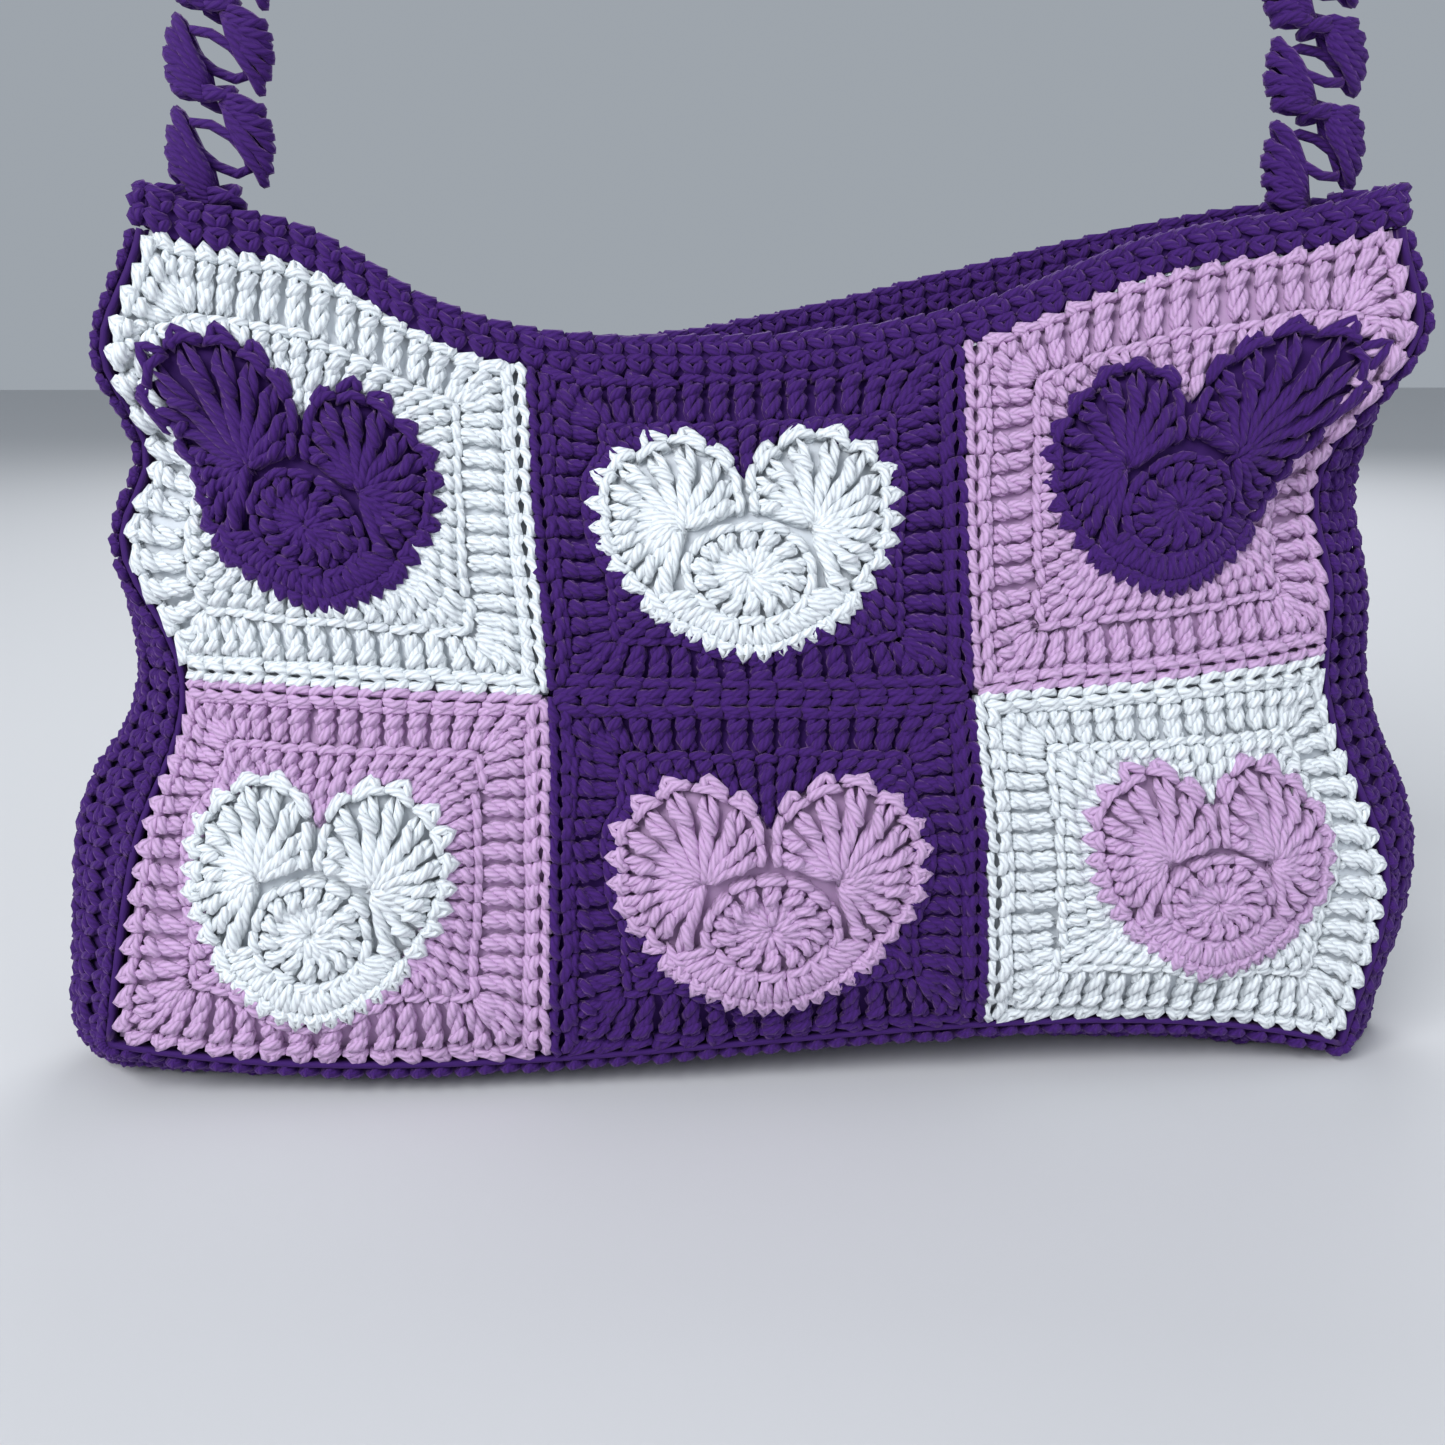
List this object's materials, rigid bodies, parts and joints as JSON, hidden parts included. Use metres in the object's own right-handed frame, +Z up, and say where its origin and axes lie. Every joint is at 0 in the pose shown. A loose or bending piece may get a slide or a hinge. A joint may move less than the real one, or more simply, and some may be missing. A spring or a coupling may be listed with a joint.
{
  "type": "shoulder bag",
  "caption": "Soft crocheted shoulder bag of heart squares with a gusset, a rimmed open mouth and a one-piece shell-stitch shoulder strap.",
  "frame": {"origin": "middle of the underside of the strap's highest point, where the bag hangs from a shoulder or a hook", "axes": "+X to the bag's right seen from the front, +Y from the front to the back, +Z up"},
  "size_m": [0.3958, 0.0933, 0.453],
  "materials": {
    "purple_yarn": "matte plied acrylic yarn with a soft sheen",
    "lilac_yarn": "matte plied acrylic yarn with a soft sheen",
    "white_yarn": "matte plied acrylic yarn with a soft sheen",
    "lining_cloth": "matte plain dark cloth"
  },
  "bodies": {
    "root": {"front_top_left_square": "white_yarn", "front_top_left_heart": "purple_yarn", "front_top_middle_square": "purple_yarn", "front_top_middle_heart": "white_yarn", "front_top_right_square": "lilac_yarn", "front_top_right_heart": "purple_yarn", "front_bottom_left_square": "lilac_yarn", "front_bottom_left_heart": "white_yarn", "front_bottom_middle_square": "purple_yarn", "front_bottom_middle_heart": "lilac_yarn", "front_bottom_right_square": "white_yarn", "front_bottom_right_heart": "lilac_yarn", "back_top_left_square": "lilac_yarn", "back_top_left_heart": "purple_yarn", "back_top_middle_square": "purple_yarn", "back_top_middle_heart": "white_yarn", "back_top_right_square": "white_yarn", "back_top_right_heart": "purple_yarn", "back_bottom_left_square": "white_yarn", "back_bottom_left_heart": "lilac_yarn", "back_bottom_middle_square": "purple_yarn", "back_bottom_middle_heart": "lilac_yarn", "back_bottom_right_square": "lilac_yarn", "back_bottom_right_heart": "white_yarn", "gusset": "purple_yarn", "rim": "purple_yarn", "strap": "purple_yarn", "lining": "lining_cloth"}
  },
  "joints": []
}
